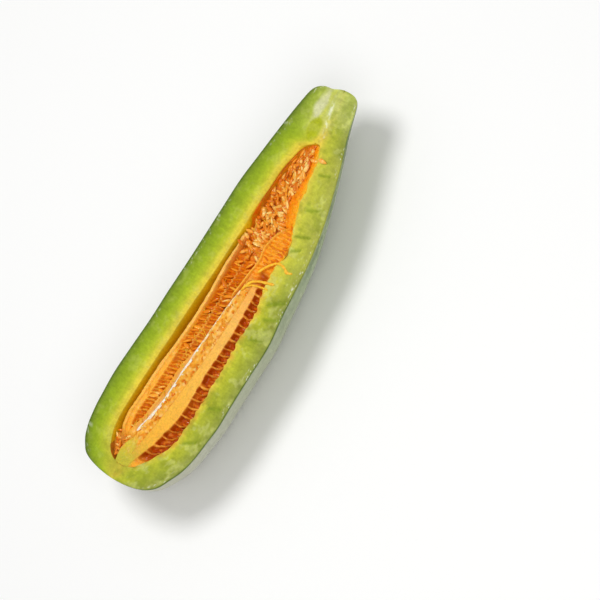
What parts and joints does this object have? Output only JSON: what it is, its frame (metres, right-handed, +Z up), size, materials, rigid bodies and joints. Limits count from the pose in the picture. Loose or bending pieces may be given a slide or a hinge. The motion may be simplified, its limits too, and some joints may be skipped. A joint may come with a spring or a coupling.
{
  "type": "muskmelon half",
  "caption": "Long muskmelon cut in half lengthwise, lying on its rind with the cut face up: rind with flesh, open seed cavity, soft seed pulp and loose flat seeds.",
  "frame": {"origin": "bottom centre of the half's bounding box, on the resting spot's level", "axes": "+X from the blossom end to the stem end, +Y to the side where the cavity wall is bare, +Z up, square to the level cut face"},
  "size_m": [0.27, 0.0866, 0.0414],
  "materials": {
    "rind_and_flesh": "moist cut flesh, satin",
    "seed_pulp": "wet, glossy",
    "row_seed": "wet, glossy",
    "bed_seed": "wet, glossy"
  },
  "bodies": {
    "root": {"rind_and_flesh": "rind_and_flesh", "seed_pulp": "seed_pulp", "row_seed_01": "row_seed", "row_seed_02": "row_seed", "row_seed_03": "row_seed", "row_seed_04": "row_seed", "row_seed_05": "row_seed", "row_seed_06": "row_seed", "row_seed_07": "row_seed", "row_seed_08": "row_seed", "row_seed_09": "row_seed", "row_seed_10": "row_seed", "row_seed_11": "row_seed", "row_seed_12": "row_seed", "row_seed_13": "row_seed", "row_seed_14": "row_seed", "row_seed_15": "row_seed", "row_seed_16": "row_seed", "row_seed_17": "row_seed", "row_seed_18": "row_seed", "row_seed_19": "row_seed", "row_seed_20": "row_seed", "bed_seed_01": "bed_seed", "bed_seed_02": "bed_seed", "bed_seed_03": "bed_seed", "bed_seed_04": "bed_seed", "bed_seed_05": "bed_seed", "bed_seed_06": "bed_seed", "bed_seed_07": "bed_seed", "bed_seed_08": "bed_seed", "bed_seed_09": "bed_seed", "bed_seed_10": "bed_seed", "bed_seed_11": "bed_seed", "bed_seed_12": "bed_seed", "bed_seed_13": "bed_seed", "bed_seed_14": "bed_seed", "bed_seed_15": "bed_seed", "bed_seed_16": "bed_seed", "bed_seed_17": "bed_seed", "bed_seed_18": "bed_seed", "bed_seed_19": "bed_seed", "bed_seed_20": "bed_seed", "bed_seed_21": "bed_seed", "bed_seed_22": "bed_seed", "bed_seed_23": "bed_seed", "bed_seed_24": "bed_seed"}
  },
  "joints": []
}
